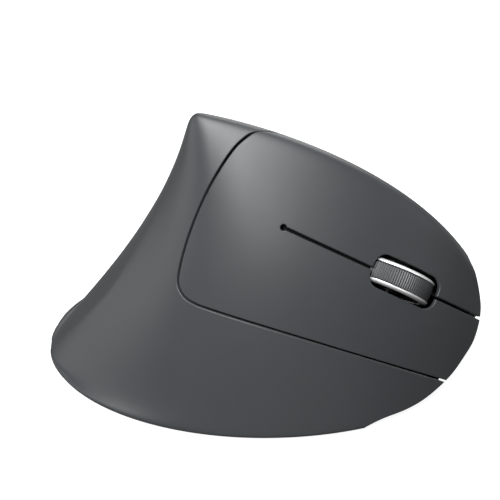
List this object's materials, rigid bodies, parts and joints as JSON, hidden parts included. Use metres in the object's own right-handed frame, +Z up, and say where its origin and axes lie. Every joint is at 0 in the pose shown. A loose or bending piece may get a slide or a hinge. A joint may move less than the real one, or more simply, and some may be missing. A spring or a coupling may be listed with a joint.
{
  "type": "computer mouse",
  "caption": "Right-handed vertical computer mouse, wireless: a fin-shaped grip with a sloping button face, scroll wheel and thumb buttons.",
  "frame": {"origin": "centre of the bounding box at the desk surface, under the feet", "axes": "+Z up, +Y towards the front where the buttons end, +X towards the finger side"},
  "size_m": [0.0756, 0.1264, 0.0727],
  "materials": {
    "soft_touch": "dark grey soft-touch coating, matte, broad sheen",
    "dark_plastic": "fine moulded texture",
    "glide": "smooth glide pad",
    "steel": "bright plated steel",
    "switch_black": "moulded switch housing",
    "chip": "epoxy package",
    "ivory": "natural acetal",
    "tyre_rubber": "finely ribbed rubber",
    "chrome": "polished plating",
    "circuit": "solder-masked board",
    "clear": "clear moulding",
    "led_red": "tinted clear epoxy",
    "cable_grey": "flat ribbon",
    "battery_sleeve": "printed sleeve over a metal can"
  },
  "bodies": {
    "housing": {"palm_shell": "soft_touch", "thumb_shell": "soft_touch", "front_bezel": "dark_plastic", "button_panel": "soft_touch", "base_plate": "dark_plastic", "foot_front_left": "glide", "foot_front_right": "glide", "foot_rear_left": "glide", "foot_rear_right": "glide", "screw_front_left": "steel", "screw_front_right": "steel", "screw_rear_left": "steel", "screw_rear_right": "steel", "cradle_pin": "steel", "detent_spring": "steel", "capacitor": "steel", "battery_spring": "steel", "battery_contact": "steel", "back_switch": "switch_black", "forward_switch": "switch_black", "left_switch": "switch_black", "right_switch": "switch_black", "middle_switch": "switch_black", "power_switch_body": "switch_black", "ir_detector": "switch_black", "ir_emitter": "clear", "sensor_chip": "chip", "controller_chip": "chip", "main_board": "circuit", "button_board": "circuit", "side_board": "circuit", "sensor_lens": "clear", "sensor_led": "led_red", "ribbon_cable": "cable_grey", "battery": "battery_sleeve", "battery_tray": "dark_plastic", "board_bracket": "dark_plastic"},
    "left_button": {"left_button": "soft_touch"},
    "right_button": {"right_button": "soft_touch"},
    "cradle": {"wheel_cradle": "dark_plastic", "wheel_axle": "steel"},
    "scroll_wheel": {"wheel_hub": "dark_plastic", "wheel_tyre": "tyre_rubber", "wheel_rim_upper": "chrome", "wheel_rim_lower": "chrome"},
    "back_button": {"back_button": "dark_plastic"},
    "forward_button": {"forward_button": "dark_plastic"},
    "left_plunger": {"left_plunger": "ivory"},
    "right_plunger": {"right_plunger": "ivory"},
    "middle_plunger": {"middle_plunger": "ivory"},
    "back_plunger": {"back_plunger": "ivory"},
    "forward_plunger": {"forward_plunger": "ivory"},
    "battery_door": {"battery_door": "dark_plastic"},
    "power_knob": {"power_switch_knob": "ivory"}
  },
  "joints": [
    {"name": "left_click", "type": "hinge", "parent": "housing", "child": "left_button", "pos_m": [0.00387, 0.00555, 0.05111], "axis": [-0.625, 0.4138, 0.6619], "range_deg": [0, 0.9], "stiffness_Nm_per_rad": 1.3},
    {"name": "right_click", "type": "hinge", "parent": "housing", "child": "right_button", "pos_m": [0.00387, 0.00555, 0.05111], "axis": [-0.625, 0.4138, 0.6619], "range_deg": [0, 0.9], "stiffness_Nm_per_rad": 1.3},
    {"name": "wheel_press", "type": "hinge", "parent": "housing", "child": "cradle", "pos_m": [0.00244, 0.02222, 0.03885], "axis": [-0.6923, 0.3755, 0.6162], "range_deg": [0, 2], "stiffness_Nm_per_rad": 0.4},
    {"name": "wheel_spin", "type": "hinge", "parent": "cradle", "child": "scroll_wheel", "pos_m": [0.00277, 0.03692, 0.03027], "axis": [-0.6923, 0.3755, 0.6162], "continuous": true},
    {"name": "back_press", "type": "slide", "parent": "housing", "child": "back_button", "axis": [1, 0, 0], "range_m": [0, 0.0007], "stiffness_N_per_m": 900},
    {"name": "forward_press", "type": "slide", "parent": "housing", "child": "forward_button", "axis": [1, 0, 0], "range_m": [0, 0.0007], "stiffness_N_per_m": 900},
    {"name": "left_plunger_slide", "type": "slide", "parent": "housing", "child": "left_plunger", "axis": [-0.7214, -0.3773, -0.5807], "range_m": [0, 0.0004]},
    {"name": "right_plunger_slide", "type": "slide", "parent": "housing", "child": "right_plunger", "axis": [-0.7214, -0.3773, -0.5807], "range_m": [0, 0.0004]},
    {"name": "middle_plunger_slide", "type": "slide", "parent": "housing", "child": "middle_plunger", "axis": [-0.7214, -0.3773, -0.5807], "range_m": [0, 0.0003]},
    {"name": "back_plunger_slide", "type": "slide", "parent": "housing", "child": "back_plunger", "axis": [1, 0, 0], "range_m": [0, 0.00045]},
    {"name": "forward_plunger_slide", "type": "slide", "parent": "housing", "child": "forward_plunger", "axis": [1, 0, 0], "range_m": [0, 0.00045]},
    {"name": "door_slide", "type": "slide", "parent": "housing", "child": "battery_door", "axis": [0, -1, 0], "range_m": [0, 0.004]},
    {"name": "power_slide", "type": "slide", "parent": "housing", "child": "power_knob", "axis": [0, 1, 0], "range_m": [0, 0.003]}
  ],
  "couplings": [
    {"joint": "left_plunger_slide", "follows": "left_click", "m_per_rad": 0.025},
    {"joint": "right_plunger_slide", "follows": "right_click", "m_per_rad": 0.025},
    {"joint": "middle_plunger_slide", "follows": "wheel_press", "m_per_rad": 0.0085},
    {"joint": "back_plunger_slide", "follows": "back_press", "ratio": 0.6},
    {"joint": "forward_plunger_slide", "follows": "forward_press", "ratio": 0.6}
  ]
}
